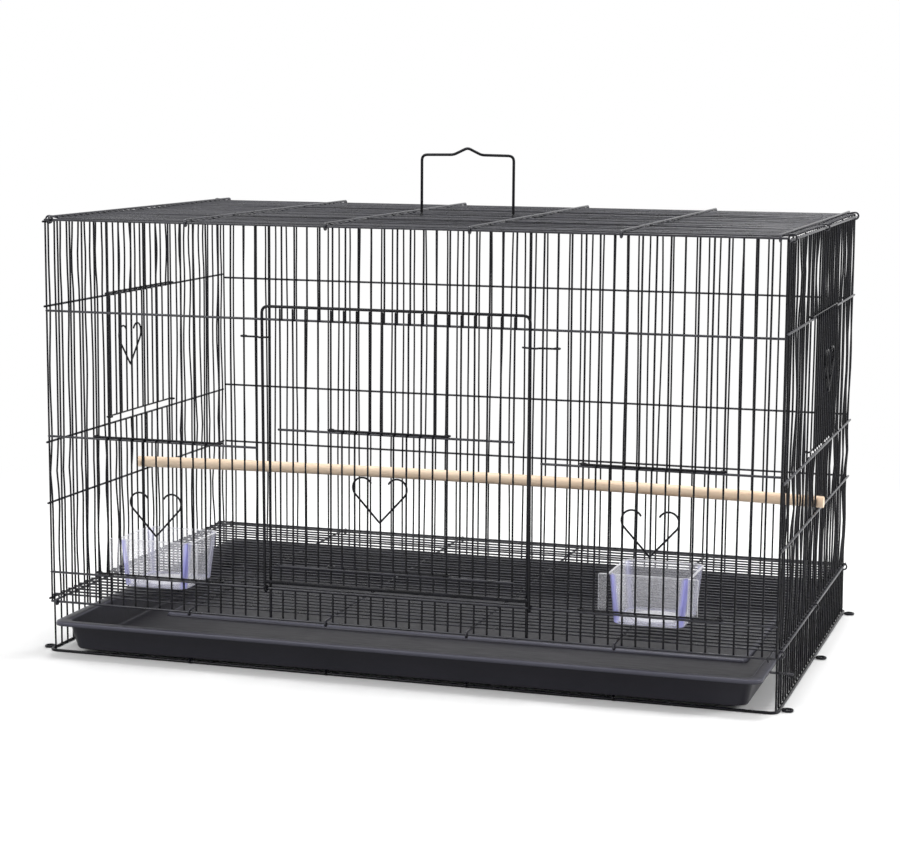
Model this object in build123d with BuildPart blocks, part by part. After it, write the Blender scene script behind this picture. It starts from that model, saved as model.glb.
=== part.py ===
from build123d import *
import math
import os

os.makedirs("parts", exist_ok=True)

# The cage stands on z = 0 with its front towards -Y and its width along X. All sizes are in mm.

# wire sizes
wire = 2.0
rail_wire = 2.4
post_wire = 3.0
base_wire = 3.0
handle_wire = 3.0
door_wire = 3.0
hex_sides = 6
oct_sides = 8
hex_turn = 30.0
oct_turn = 22.5
half = 0.5

# the boxes of uprights: centres of the outermost wires
corner_x = 380.0
front_y = -229.0
back_y = 229.0
side_x = 380.0

# heights of the lengthwise rails
top_rail_z = 450.9
upper_rail_z = 358.0
middle_rail_z = 228.0
lower_rail_z = 85.0
floor_rail_z = 53.8
back_upper_z = 358.0
back_middle_z = 227.0
back_lower_z = 157.0
side_upper_z = 362.0
side_middle_z = 221.0
side_lower_z = 157.0
rail_end_gap = 0.6
ground_gap = 0.5

# front grille: uprights each side of the doorway, and across it
post_x = 134.4
side_bays = 18
door_bays = 20
feeder_first = 4
feeder_last = 14
side_pitch = (corner_x - post_x) / side_bays
door_pitch = 2 * post_x / door_bays
middle_rail_start = 1

# back grille
back_bays = 56
back_pitch = 2 * corner_x / back_bays

# side grilles
end_bays = 33
end_pitch = 13.5
end_rail_y = 231.0

# top and floor grids
grid_pitch = 13.5
grid_half_count = 16
cross_front_bays = 5.5
cross_outer_bay = 6.5
cross_end_bay = 17.5

# how a wire sits on the one it is welded to
rail_step = half * (wire + rail_wire)
front_rail_y = front_y - rail_step
back_rail_y = back_y + rail_step
side_rail_x = side_x + rail_step
top_cross_z = top_rail_z + rail_wire
top_wire_z = top_cross_z - rail_step
floor_cross_z = floor_rail_z + rail_wire
floor_wire_z = floor_cross_z + rail_step
side_top_z = top_wire_z - rail_step
side_floor_z = floor_wire_z - rail_step
post_y = front_y + half * (post_wire - wire)

# base frame
base_x = side_x + half * (wire + base_wire)
base_y = back_y + half * (wire + base_wire)
base_z = half * base_wire
base_corner = 6.0
base_cross_z = base_wire + half * rail_wire
eye_outer = 6.0
eye_inner = 4.0
eye_height = 2.4
eye_floor = 0.3
base_eye_y = 216.0
hook_floor = 0.6

# tray stop at the right side: a wire across the grille, beside its first upright
stop_z = 38.0
stop_inner = 8.0
stop_outer = 16.0
stop_gap = 0.05

# sliding wire doors: bars loop round an upright and stand clear of the rails
door_bar = 2.0
loop_offset = 2.7
loop_inner = loop_offset - half * door_bar
loop_outer = loop_offset + half * door_bar
seat_step = half * (rail_wire + door_bar)
lower_bar_gap = 0.4
door_wire_step = half * (door_bar + wire)

# side doors
side_door_first = 6.5
side_door_last = 5.5
side_door_lower_z = 229.0
side_heart_y = -20.25
side_heart_z = 280.0

# heart ornament, as an outline from its tip up one half
heart_points = [(0, 0), (26.5, 30.0), (28.2, 35.0), (27.0, 39.6), (23.0, 43.2), (17.5, 44.5), (12.0, 42.6), (8.8, 38.6)]
heart_wire = 2.0
left_heart_z = 131.6
right_heart_z = 145.3
inner_heart_z = 162.0
inner_heart_index = -1

# main door
leaf_x = 138.2
leaf_y = front_y - 5.3
leaf_top_z = 371.0
leaf_bar_z = 93.0
leaf_corner = 6.0
corner_cut = 0.293
hinge_offset = front_rail_y - leaf_y
hinge_ring_wire = 2.4
hinge_ring_width = 3.0
leaf_rail_upper_z = 248.5
leaf_rail_lower_z = 110.0
leaf_rail_y = leaf_y - rail_step
inner_first = -5
inner_last = 4
inner_bar_y = leaf_y - loop_offset
inner_wire_y = inner_bar_y - door_wire_step

# latches
latch_z = 340.0
latch_bay = 2
latch_wire = 2.0
latch_reach_y = leaf_y - half * door_wire - half * latch_wire - 0.6
latch_kink_x = 145.2
latch_kink_run = 3.0
latch_tip_x = 128.5
latch_tip_drop = 1.2

# handle: its grip stands above the middle wire of the top grid, and peaks in the middle
handle_x = 51.0
grip_rise = 65.1
shoulder_x = 15.5
shoulder_rise = 0.5
peak_x = 2.5
peak_rise = 6.8
handle_corner = 6.0
handle_ring_inner = 1.6
handle_ring_wire = 2.4

# perch
perch_radius = 6.0
perch_z = 164.5
perch_overhang = 8.0
perch_slot_width = 2.8
perch_web = 10.4

# tray
tray_overhang = 21.0
tray_back_gap = 3.0
tray_side_gap = 10.5
tray_bottom_z = base_wire + rail_wire
tray_top_z = 36.5
tray_wall = 1.6
tray_flange = 10.0
tray_taper = 6.0
tray_corner = 12.0
tray_lip_drop = 2.5
panel_side_gap = 28.5
panel_front_gap = 164.0
panel_back_gap = 30.0
panel_rise = 3.0
panel_slope = 3.0

# feed cups, each placed from the middle of its feeder opening
left_cup_shift = 6.5
right_cup_shift = -2.5
cup_half_x = 40.0
cup_ear_x = 49.0
cup_rise = 38.3
cup_drop = 11.2
cup_depth = 74.0
cup_taper = 5.0
cup_wall = 1.6
cup_gap = 0.4
cup_corner = 8.0
ear_thick = 2.4
ear_lap = 0.6
rim_width = 1.0
rim_height = 1.6


def x_plane(x):
    return Plane(origin=(x, 0, 0), x_dir=(0, 1, 0), z_dir=(1, 0, 0))


def y_plane(y):
    return Plane(origin=(0, y, 0), x_dir=(-1, 0, 0), z_dir=(0, 1, 0))


def hexagon(spots, across, turn):
    # hexagonal wire ends at the given spots of the sketch
    with Locations(*spots):
        RegularPolygon(half * across, hex_sides, major_radius=False, rotation=turn)


def octagon(spots, across):
    with Locations(*spots):
        RegularPolygon(half * across, oct_sides, major_radius=False, rotation=oct_turn)


def upright_set(spots, low, high, turn):
    # hexagonal wires standing along Z, all cut to the same two heights
    with BuildSketch(Plane.XY.offset(low)) as ends:
        hexagon(spots, wire, turn)
    extrude(ends.sketch, amount=high - low)


def rail_x(y, z, start, end, across=rail_wire):
    # one octagonal wire along X
    with BuildSketch(x_plane(start)) as ends:
        octagon([(y, z)], across)
    extrude(ends.sketch, amount=end - start)


def rail_y(x, z, start, end, across=rail_wire):
    # one octagonal wire along Y
    with BuildSketch(y_plane(start)) as ends:
        octagon([(-x, z)], across)
    extrude(ends.sketch, amount=end - start)


def eye_face(spot, inner, outer, sides, turn):
    # the flat outline of a closed eye of wire
    with Locations(spot):
        RegularPolygon(outer, sides, major_radius=False, rotation=turn)
        RegularPolygon(inner, sides, major_radius=False, rotation=turn, mode=Mode.SUBTRACT)


def eye_x(x, y, z, inner, outer, width, sides=oct_sides, turn=oct_turn):
    # a closed eye of wire round an axis along X
    with BuildSketch(x_plane(x - half * width)) as ends:
        eye_face((y, z), inner, outer, sides, turn)
    extrude(ends.sketch, amount=width)


def eye_y(x, y, z, inner, outer, width):
    # the same eye round an axis along Y
    with BuildSketch(y_plane(y - half * width)) as ends:
        eye_face((-x, z), inner, outer, oct_sides, oct_turn)
    extrude(ends.sketch, amount=width)


def eye_z(x, y, z, inner, outer, height, turn):
    # the same eye round an upright
    with BuildSketch(Plane.XY.offset(z - half * height)) as ends:
        eye_face((x, y), inner, outer, hex_sides, turn)
    extrude(ends.sketch, amount=height)


def bent_wire(points, across, flat_dir, sides=hex_sides, turn=hex_turn):
    # a wire bent through the points, with flats facing along flat_dir
    start = Vector(*points[0])
    aim = (Vector(*points[1]) - start).normalized()
    with BuildLine() as run:
        Polyline(*points)
    with BuildSketch(Plane(origin=start, x_dir=flat_dir, z_dir=aim)) as ends:
        RegularPolygon(half * across, sides, major_radius=False, rotation=turn)
    sweep(ends.sketch, path=run.wires()[0], transition=Transition.RIGHT)


def heart_path(centre, tip_z, place):
    # the open heart outline, from one curled end round to the other
    right = [place(centre + across, tip_z + up) for across, up in heart_points]
    left = [place(centre - across, tip_z + up) for across, up in heart_points]
    return list(reversed(left)) + right[1:]


def mirrored(values):
    return [sign * value for value in values for sign in (-1, 1)]


full_bays = list(range(1, feeder_first + 1)) + list(range(feeder_last, side_bays))
feeder_bays = range(feeder_first + 1, feeder_last)
full_x = mirrored([post_x + bay * side_pitch for bay in full_bays])
feeder_x = mirrored([post_x + bay * side_pitch for bay in feeder_bays])
doorway_x = [(bay - half * door_bays) * door_pitch for bay in range(1, door_bays)]
cross_x = mirrored(
    [
        cross_front_bays * door_pitch,
        post_x + cross_outer_bay * side_pitch,
        post_x + cross_end_bay * side_pitch,
    ]
)
inner_cross_x = [x for x in cross_x if abs(x) < post_x + side_bays * half * side_pitch]
end_y = [(bay - half * end_bays) * end_pitch for bay in range(end_bays + 1)]

# front grille: uprights, leaving the doorway and the two feeder openings free
grille_low = floor_rail_z - half * rail_wire
grille_high = top_rail_z + half * rail_wire
upper_low = upper_rail_z - half * rail_wire
middle_low = middle_rail_z - half * rail_wire
lower_high = lower_rail_z + half * rail_wire

with BuildPart() as front_uprights:
    upright_set([(x, front_y) for x in full_x], grille_low, grille_high, 0)
    upright_set([(x, front_y) for x in feeder_x], middle_low, grille_high, 0)
    upright_set([(x, front_y) for x in doorway_x], upper_low, grille_high, 0)
    upright_set([(x, front_y) for x in feeder_x + doorway_x], grille_low, lower_high, 0)
    with BuildSketch(Plane.XY.offset(grille_low)):
        octagon([(-corner_x, front_y), (corner_x, front_y)], wire)
    extrude(amount=grille_high - grille_low)
front_uprights.part.label = "front_uprights"
export_step(front_uprights.part, "parts/front_uprights.step")

# the two thicker posts beside the doorway
with BuildPart() as front_posts:
    with BuildSketch(Plane.XY.offset(grille_low)):
        hexagon([(-post_x, post_y), (post_x, post_y)], post_wire, 0)
    extrude(amount=grille_high - grille_low)
front_posts.part.label = "front_posts"
export_step(front_posts.part, "parts/front_posts.step")

rail_reach = side_rail_x - half * rail_wire - rail_end_gap
feeder_rail_start = post_x + middle_rail_start * side_pitch - half * rail_wire

with BuildPart() as front_rails:
    for height in (top_rail_z, upper_rail_z, lower_rail_z, floor_rail_z):
        rail_x(front_rail_y, height, -rail_reach, rail_reach)
    rail_x(front_rail_y, middle_rail_z, -rail_reach, -feeder_rail_start)
    rail_x(front_rail_y, middle_rail_z, feeder_rail_start, rail_reach)
front_rails.part.label = "front_rails"
export_step(front_rails.part, "parts/front_rails.step")

# back grille
with BuildPart() as back_uprights:
    inner_back = [((bay - half * back_bays) * back_pitch, back_y) for bay in range(1, back_bays)]
    upright_set(inner_back, ground_gap, grille_high, 0)
    with BuildSketch(Plane.XY.offset(base_wire)):
        octagon([(-corner_x, back_y), (corner_x, back_y)], wire)
    extrude(amount=grille_high - base_wire)
back_uprights.part.label = "back_uprights"
export_step(back_uprights.part, "parts/back_uprights.step")

with BuildPart() as back_rails:
    for height in (top_rail_z, back_upper_z, back_middle_z, back_lower_z, floor_rail_z):
        rail_x(back_rail_y, height, -rail_reach, rail_reach)
back_rails.part.label = "back_rails"
export_step(back_rails.part, "parts/back_rails.step")

# the two side grilles stand on the base frame
side_high = side_top_z + half * rail_wire
side_heights = (side_top_z, side_upper_z, side_middle_z, side_lower_z, side_floor_z)

with BuildPart() as left_uprights:
    upright_set([(-side_x, y) for y in end_y], ground_gap, side_high, hex_turn)
left_uprights.part.label = "left_uprights"
export_step(left_uprights.part, "parts/left_uprights.step")

with BuildPart() as left_rails:
    for height in side_heights:
        rail_y(-side_rail_x, height, -end_rail_y, end_rail_y)
left_rails.part.label = "left_rails"
export_step(left_rails.part, "parts/left_rails.step")

with BuildPart() as right_uprights:
    upright_set([(side_x, y) for y in end_y], ground_gap, side_high, hex_turn)
right_uprights.part.label = "right_uprights"
export_step(right_uprights.part, "parts/right_uprights.step")

with BuildPart() as right_rails:
    for height in side_heights:
        rail_y(side_rail_x, height, -end_rail_y, end_rail_y)
right_rails.part.label = "right_rails"
export_step(right_rails.part, "parts/right_rails.step")

# a short wire welded beside the first upright of the right grille, at the height of the tray's flange
upright_reach = half * wire / math.cos(math.radians(hex_turn))
with BuildPart() as tray_stop:
    rail_x(end_y[0] + upright_reach + half * rail_wire + stop_gap, stop_z, side_x - stop_inner, side_x + stop_outer)
tray_stop.part.label = "tray_stop"
export_step(tray_stop.part, "parts/tray_stop.step")


def grid_wires(half_count, z, hooked):
    # lengthwise wires of a grid, the hooked ones with an eye round each side rail
    spots = [(bay * grid_pitch, z) for bay in range(-half_count, half_count + 1)]
    with BuildSketch(x_plane(-side_rail_x)) as ends:
        hexagon(spots, wire, 0)
    extrude(ends.sketch, amount=2 * side_rail_x)
    eye_in = half * rail_wire
    for bay in hooked:
        for x in (-side_rail_x, side_rail_x):
            eye_y(x, bay * grid_pitch, z - rail_step, eye_in, eye_in + wire, wire)


def cross_wires(z, rail_z):
    # wires from front to back, each with an eye round the front and the back rail
    eye_in = half * rail_wire
    for x in cross_x:
        rail_y(x, z, front_rail_y, back_rail_y)
        for y in (front_rail_y, back_rail_y):
            eye_x(x, y, rail_z, eye_in, eye_in + rail_wire, rail_wire)


hooked_bays = (-grid_half_count, 0, grid_half_count)

# top grid: its cross wires lie over the lengthwise ones
with BuildPart() as top_wires:
    grid_wires(grid_half_count, top_wire_z, hooked_bays)
top_wires.part.label = "top_wires"
export_step(top_wires.part, "parts/top_wires.step")

with BuildPart() as top_cross_wires:
    cross_wires(top_cross_z, top_rail_z)
top_cross_wires.part.label = "top_cross_wires"
export_step(top_cross_wires.part, "parts/top_cross_wires.step")

# floor grid, which the birds stand on: here the cross wires lie underneath
with BuildPart() as floor_wires:
    grid_wires(grid_half_count, floor_wire_z, hooked_bays)
floor_wires.part.label = "floor_wires"
export_step(floor_wires.part, "parts/floor_wires.step")

with BuildPart() as floor_cross_wires:
    cross_wires(floor_cross_z, floor_rail_z)
floor_cross_wires.part.label = "floor_cross_wires"
export_step(floor_cross_wires.part, "parts/floor_cross_wires.step")

# base frame: wire bent round the four corners
bend = corner_cut * base_corner
side_run = [
    (base_x - base_corner, base_y, base_z),
    (base_x - bend, base_y - bend, base_z),
    (base_x, base_y - base_corner, base_z),
]
right_run = [(0, base_y, base_z)] + side_run + [(x, -y, z) for x, y, z in reversed(side_run)] + [(0, -base_y, base_z)]
left_run = [(-x, y, z) for x, y, z in right_run]

with BuildPart() as base_frame:
    for points in (right_run, left_run):
        bent_wire(points, base_wire, (0, 0, 1), oct_sides, oct_turn)
base_frame.part.label = "base_frame"
export_step(base_frame.part, "parts/base_frame.step")

# three flat eyes at each side of the base frame
with BuildPart() as base_eyes:
    for x in mirrored([base_x + half * base_wire + eye_outer]):
        for y in (-base_eye_y, 0, base_eye_y):
            eye_z(x, y, eye_floor + half * eye_height, eye_inner, eye_outer, eye_height, hex_turn)
base_eyes.part.label = "base_eyes"
export_step(base_eyes.part, "parts/base_eyes.step")

# wires under the tray, turned down over the front of the base frame
hook_y = -base_y - half * base_wire - half * rail_wire
with BuildPart() as base_cross_wires:
    for x in inner_cross_x:
        rail_y(x, base_cross_z, hook_y - half * rail_wire, base_y)
        with BuildSketch(Plane.XY.offset(hook_floor)):
            octagon([(x, hook_y)], rail_wire)
        extrude(amount=base_cross_z - hook_floor)
base_cross_wires.part.label = "base_cross_wires"
export_step(base_cross_wires.part, "parts/base_cross_wires.step")

# perch: a dowel with a slot each side at each end, where the side wires grip it
perch_half_length = side_x + perch_overhang
with BuildPart() as perch:
    with BuildSketch(x_plane(-perch_half_length)):
        with Locations((0, perch_z)):
            Circle(perch_radius)
    extrude(amount=2 * perch_half_length)
    with Locations(*[(x, y, perch_z) for x in mirrored([side_x]) for y in mirrored([perch_web])]):
        Box(perch_slot_width, perch_web, 2 * perch_radius, mode=Mode.SUBTRACT)
perch.part.label = "perch"
export_step(perch.part, "parts/perch.step")

# main door: an outer frame hung on the lower rail by an eye at each foot
leaf_bend = corner_cut * leaf_corner
leaf_run = [
    (leaf_x, leaf_y, lower_rail_z),
    (leaf_x, leaf_y, leaf_top_z - leaf_corner),
    (leaf_x - leaf_bend, leaf_y, leaf_top_z - leaf_bend),
    (leaf_x - leaf_corner, leaf_y, leaf_top_z),
]
leaf_path = leaf_run + [(-x, y, z) for x, y, z in reversed(leaf_run)]
hinge_outer = hinge_offset + half * hinge_ring_wire
hinge_inner = hinge_offset - half * hinge_ring_wire
leaf_half_wire = half * door_wire

with BuildPart() as main_door_frame:
    bent_wire(leaf_path, door_wire, (0, 1, 0), oct_sides, oct_turn)
    rail_x(leaf_y, leaf_bar_z, -leaf_x, leaf_x, door_wire)
    for x in mirrored([leaf_x]):
        eye_x(x, front_rail_y, lower_rail_z, hinge_inner, hinge_outer, hinge_ring_width, hex_sides, hex_turn)
main_door_frame.part.label = "main_door_frame"
export_step(main_door_frame.part, "parts/main_door_frame.step")

# main door wires, with a gap for the small sliding door
leaf_low = leaf_bar_z + leaf_half_wire
leaf_high = leaf_top_z - leaf_half_wire
long_x = [x for i, x in enumerate(doorway_x) if not inner_first < i + 1 - half * door_bays < inner_last]
short_x = [x for x in doorway_x if x not in long_x]
upper_cut = leaf_rail_upper_z - half * rail_wire
lower_cut = leaf_rail_lower_z + half * rail_wire

with BuildPart() as main_door_wires:
    upright_set([(x, leaf_y) for x in long_x], leaf_low, leaf_high, 0)
    upright_set([(x, leaf_y) for x in short_x], leaf_low, lower_cut, 0)
    upright_set([(x, leaf_y) for x in short_x], upper_cut, leaf_high, 0)
main_door_wires.part.label = "main_door_wires"
export_step(main_door_wires.part, "parts/main_door_wires.step")

with BuildPart() as main_door_rails:
    for height in (leaf_rail_upper_z, leaf_rail_lower_z):
        rail_x(leaf_rail_y, height, doorway_x[0] - wire, doorway_x[-1] + wire)
main_door_rails.part.label = "main_door_rails"
export_step(main_door_rails.part, "parts/main_door_rails.step")


def sliding_bars(guide_x, guide_y, bar_y, heights):
    # two bars of a front sliding door, each ending in an eye round a guide wire
    start, end = guide_x
    for height in heights:
        rail_x(bar_y, height, start, end, door_bar)
        for x in (start, end):
            eye_z(x, guide_y, height, loop_inner, loop_outer, door_bar, 0)


def front_heart(centre_x, y, tip_z):
    bent_wire(heart_path(centre_x, tip_z, lambda across, up: (across, y, up)), heart_wire, (0, 1, 0))


# small door that slides up in the main door
inner_guides = (inner_first * door_pitch, inner_last * door_pitch)
inner_top_z = leaf_rail_upper_z + seat_step
inner_low_z = leaf_rail_lower_z + seat_step + lower_bar_gap
inner_low = inner_low_z - half * door_bar
inner_high = inner_top_z + half * door_bar

with BuildPart() as inner_door_bars:
    sliding_bars(inner_guides, leaf_y, inner_bar_y, (inner_low_z, inner_top_z))
inner_door_bars.part.label = "inner_door_bars"
export_step(inner_door_bars.part, "parts/inner_door_bars.step")

with BuildPart() as inner_door_wires:
    upright_set([(x, inner_wire_y) for x in short_x], inner_low, inner_high, 0)
inner_door_wires.part.label = "inner_door_wires"
export_step(inner_door_wires.part, "parts/inner_door_wires.step")

with BuildPart() as inner_door_heart:
    front_heart(inner_heart_index * door_pitch, inner_wire_y - wire, inner_heart_z)
inner_door_heart.part.label = "inner_door_heart"
export_step(inner_door_heart.part, "parts/inner_door_heart.step")

# feeder doors, one each side of the main door
feeder_guides = (post_x + feeder_first * side_pitch, post_x + feeder_last * side_pitch)
feeder_mid = half * sum(feeder_guides)
feeder_bar_y = front_y - loop_offset
feeder_wire_y = feeder_bar_y - door_wire_step
feeder_top_z = middle_rail_z + seat_step
feeder_low_z = lower_rail_z + seat_step + lower_bar_gap
feeder_low = feeder_low_z - half * door_bar
feeder_high = feeder_top_z + half * door_bar
right_feeder_x = [x for x in feeder_x if x > 0]
left_feeder_x = [x for x in feeder_x if x < 0]
left_guides = (-feeder_guides[1], -feeder_guides[0])

with BuildPart() as left_feeder_bars:
    sliding_bars(left_guides, front_y, feeder_bar_y, (feeder_low_z, feeder_top_z))
left_feeder_bars.part.label = "left_feeder_bars"
export_step(left_feeder_bars.part, "parts/left_feeder_bars.step")

with BuildPart() as left_feeder_wires:
    upright_set([(x, feeder_wire_y) for x in left_feeder_x], feeder_low, feeder_high, 0)
left_feeder_wires.part.label = "left_feeder_wires"
export_step(left_feeder_wires.part, "parts/left_feeder_wires.step")

with BuildPart() as left_feeder_heart:
    front_heart(-feeder_mid, feeder_wire_y - wire, left_heart_z)
left_feeder_heart.part.label = "left_feeder_heart"
export_step(left_feeder_heart.part, "parts/left_feeder_heart.step")

with BuildPart() as right_feeder_bars:
    sliding_bars(feeder_guides, front_y, feeder_bar_y, (feeder_low_z, feeder_top_z))
right_feeder_bars.part.label = "right_feeder_bars"
export_step(right_feeder_bars.part, "parts/right_feeder_bars.step")

with BuildPart() as right_feeder_wires:
    upright_set([(x, feeder_wire_y) for x in right_feeder_x], feeder_low, feeder_high, 0)
right_feeder_wires.part.label = "right_feeder_wires"
export_step(right_feeder_wires.part, "parts/right_feeder_wires.step")

with BuildPart() as right_feeder_heart:
    front_heart(feeder_mid, feeder_wire_y - wire, right_heart_z)
right_feeder_heart.part.label = "right_feeder_heart"
export_step(right_feeder_heart.part, "parts/right_feeder_heart.step")

# side doors: the two side grilles are the same panel, so the right one is turned half round
side_bar_x = side_x + loop_offset
side_wire_x = side_bar_x + door_wire_step
side_heart_x = side_wire_x + wire
side_door_top_z = side_upper_z + seat_step
side_low = side_door_lower_z - half * door_bar
side_door_high = side_door_top_z + half * door_bar
side_guides = (-side_door_first * end_pitch, side_door_last * end_pitch)
side_inner_y = [y for y in end_y if side_guides[0] < y < side_guides[1]]


def side_bars(side):
    # the door's two bars; side is 1 for the right grille and -1 for the left
    start, end = sorted(-side * y for y in side_guides)
    for height in (side_door_lower_z, side_door_top_z):
        rail_y(side * side_bar_x, height, start, end, door_bar)
        for y in (start, end):
            eye_z(side * side_x, y, height, loop_inner, loop_outer, door_bar, hex_turn)


def side_wires(side):
    spots = [(side * side_wire_x, -side * y) for y in side_inner_y]
    upright_set(spots, side_low, side_door_high, hex_turn)


def side_heart(side):
    points = heart_path(-side * side_heart_y, side_heart_z, lambda across, up: (side * side_heart_x, across, up))
    bent_wire(points, heart_wire, (1, 0, 0))


with BuildPart() as left_side_bars:
    side_bars(-1)
left_side_bars.part.label = "left_side_bars"
export_step(left_side_bars.part, "parts/left_side_bars.step")

with BuildPart() as left_side_wires:
    side_wires(-1)
left_side_wires.part.label = "left_side_wires"
export_step(left_side_wires.part, "parts/left_side_wires.step")

with BuildPart() as left_side_heart:
    side_heart(-1)
left_side_heart.part.label = "left_side_heart"
export_step(left_side_heart.part, "parts/left_side_heart.step")

with BuildPart() as right_side_bars:
    side_bars(1)
right_side_bars.part.label = "right_side_bars"
export_step(right_side_bars.part, "parts/right_side_bars.step")

with BuildPart() as right_side_wires:
    side_wires(1)
right_side_wires.part.label = "right_side_wires"
export_step(right_side_wires.part, "parts/right_side_wires.step")

with BuildPart() as right_side_heart:
    side_heart(1)
right_side_heart.part.label = "right_side_heart"
export_step(right_side_heart.part, "parts/right_side_heart.step")

# latches: each swings on the second upright from its post and lies over the door frame
latch_x = post_x + latch_bay * side_pitch


def latch(side, height):
    eye_z(side * latch_x, front_y, height, loop_inner, loop_outer, latch_wire, 0)
    points = [
        (side * latch_x, front_y - loop_offset, height),
        (side * latch_kink_x, front_y - loop_offset, height),
        (side * (latch_kink_x - latch_kink_run), latch_reach_y, height),
        (side * latch_tip_x, latch_reach_y, height + latch_tip_drop),
    ]
    bent_wire(points, latch_wire, (0, 0, 1))


with BuildPart() as left_latch:
    latch(-1, latch_z)
left_latch.part.label = "left_latch"
export_step(left_latch.part, "parts/left_latch.step")

with BuildPart() as right_latch:
    latch(1, latch_z)
right_latch.part.label = "right_latch"
export_step(right_latch.part, "parts/right_latch.step")

# carrying handle, with an eye at each foot round the middle wire of the top grid
handle_bend = corner_cut * handle_corner
handle_foot_z = top_wire_z + handle_ring_inner + half * handle_ring_wire
grip_z = top_wire_z + grip_rise
handle_run = [
    (handle_x, 0, handle_foot_z),
    (handle_x, 0, grip_z - handle_corner),
    (handle_x - handle_bend, 0, grip_z - handle_bend),
    (handle_x - handle_corner, 0, grip_z),
    (shoulder_x, 0, grip_z + shoulder_rise),
    (peak_x, 0, grip_z + peak_rise),
]
handle_path = handle_run + [(-x, y, z) for x, y, z in reversed(handle_run)]
handle_outer = handle_ring_inner + handle_ring_wire

with BuildPart() as handle:
    bent_wire(handle_path, handle_wire, (0, 1, 0), oct_sides, oct_turn)
    for x in mirrored([handle_x]):
        eye_x(x, 0, top_wire_z, handle_ring_inner, handle_outer, handle_ring_wire, hex_sides, 0)
handle.part.label = "handle"
export_step(handle.part, "parts/handle.step")

# slide-out tray: tapered walls, a flat flange with a small lip, and a raised panel pressed into its floor
tray_front_y = front_y - tray_overhang
tray_back_y = back_y - tray_back_gap
tray_half_x = corner_x - tray_side_gap
tray_mid_y = half * (tray_front_y + tray_back_y)
tray_length = tray_back_y - tray_front_y
rim_x = 2 * (tray_half_x - tray_flange)
rim_y = tray_length - 2 * tray_flange
foot_x = rim_x - 2 * tray_taper
foot_y = rim_y - 2 * tray_taper
flange_z = tray_top_z - tray_wall
panel_half_x = half * foot_x - panel_side_gap
panel_length = foot_y - panel_front_gap - panel_back_gap
panel_mid_y = tray_mid_y + half * (panel_front_gap - panel_back_gap)


def panel_sheet(low):
    # one side of the pressed panel: a low frustum whose foot is at the given height
    with BuildSketch(Plane.XY.offset(low)) as foot:
        with Locations((0, panel_mid_y)):
            Rectangle(2 * panel_half_x, panel_length)
    with BuildSketch(Plane.XY.offset(low + panel_rise)) as crest:
        with Locations((0, panel_mid_y)):
            Rectangle(2 * (panel_half_x - panel_slope), panel_length - 2 * panel_slope)
    return [foot.sketch, crest.sketch]


with BuildPart() as tray:
    with BuildSketch(Plane.XY.offset(tray_bottom_z)):
        with Locations((0, tray_mid_y)):
            RectangleRounded(foot_x, foot_y, tray_corner)
    with BuildSketch(Plane.XY.offset(flange_z)):
        with Locations((0, tray_mid_y)):
            RectangleRounded(rim_x, rim_y, tray_corner)
    loft()
    with BuildSketch(Plane.XY.offset(flange_z)):
        with Locations((0, tray_mid_y)):
            RectangleRounded(2 * tray_half_x, tray_length, tray_corner)
    extrude(amount=tray_wall)
    with BuildSketch(Plane.XY.offset(flange_z - tray_lip_drop)):
        with Locations((0, tray_mid_y)):
            RectangleRounded(2 * tray_half_x, tray_length, tray_corner)
            RectangleRounded(
                2 * (tray_half_x - tray_wall), tray_length - 2 * tray_wall, tray_corner - tray_wall, mode=Mode.SUBTRACT
            )
    extrude(amount=tray_lip_drop)
    with BuildSketch(Plane.XY.offset(tray_bottom_z + tray_wall)):
        with Locations((0, tray_mid_y)):
            RectangleRounded(foot_x - 2 * tray_wall, foot_y - 2 * tray_wall, tray_corner - tray_wall)
    with BuildSketch(Plane.XY.offset(tray_top_z)):
        with Locations((0, tray_mid_y)):
            RectangleRounded(rim_x - 2 * tray_wall, rim_y - 2 * tray_wall, tray_corner - tray_wall)
    loft(mode=Mode.SUBTRACT)
    loft(panel_sheet(tray_bottom_z + tray_wall))
    loft(panel_sheet(tray_bottom_z), mode=Mode.SUBTRACT)
tray.part.label = "tray"
export_step(tray.part, "parts/tray.step")

# clear feed cups: the ears at the front stand on the cut ends of the uprights in the feeder opening
cup_front_y = front_y + half * wire + cup_gap
cup_mid_y = cup_front_y + half * cup_depth
ear_bottom_z = lower_high
cup_top_z = ear_bottom_z + cup_rise
cup_bottom_z = ear_bottom_z - cup_drop
ear_mid_y = front_y - ear_lap + half * ear_thick


def cup_face(height, spot, size, corner):
    # one level of a cup's outline
    with BuildSketch(Plane.XY.offset(height)) as level:
        with Locations(spot):
            RectangleRounded(*size, corner)
    return level.sketch


def feed_cup(centre_x):
    top_x = 2 * cup_half_x
    low_x = top_x - 2 * cup_taper
    low_y = cup_depth - cup_taper
    low_spot = (centre_x, cup_front_y + half * low_y)
    top_spot = (centre_x, cup_mid_y)
    rim_spot = (centre_x, cup_mid_y + half * rim_width)
    skin = 2 * cup_wall
    inner_corner = cup_corner - cup_wall
    loft([
        cup_face(cup_bottom_z, low_spot, (low_x, low_y), cup_corner),
        cup_face(cup_top_z, top_spot, (top_x, cup_depth), cup_corner),
    ])
    rim_size = (top_x + 2 * rim_width, cup_depth + rim_width)
    extrude(cup_face(cup_top_z - rim_height, rim_spot, rim_size, cup_corner + rim_width), amount=rim_height)
    with Locations((centre_x, ear_mid_y, half * (ear_bottom_z + cup_top_z))):
        Box(2 * cup_ear_x, ear_thick, cup_rise)
    loft(
        [
            cup_face(cup_bottom_z + cup_wall, low_spot, (low_x - skin, low_y - skin), inner_corner),
            cup_face(cup_top_z, top_spot, (top_x - skin, cup_depth - skin), inner_corner),
        ],
        mode=Mode.SUBTRACT,
    )


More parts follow.
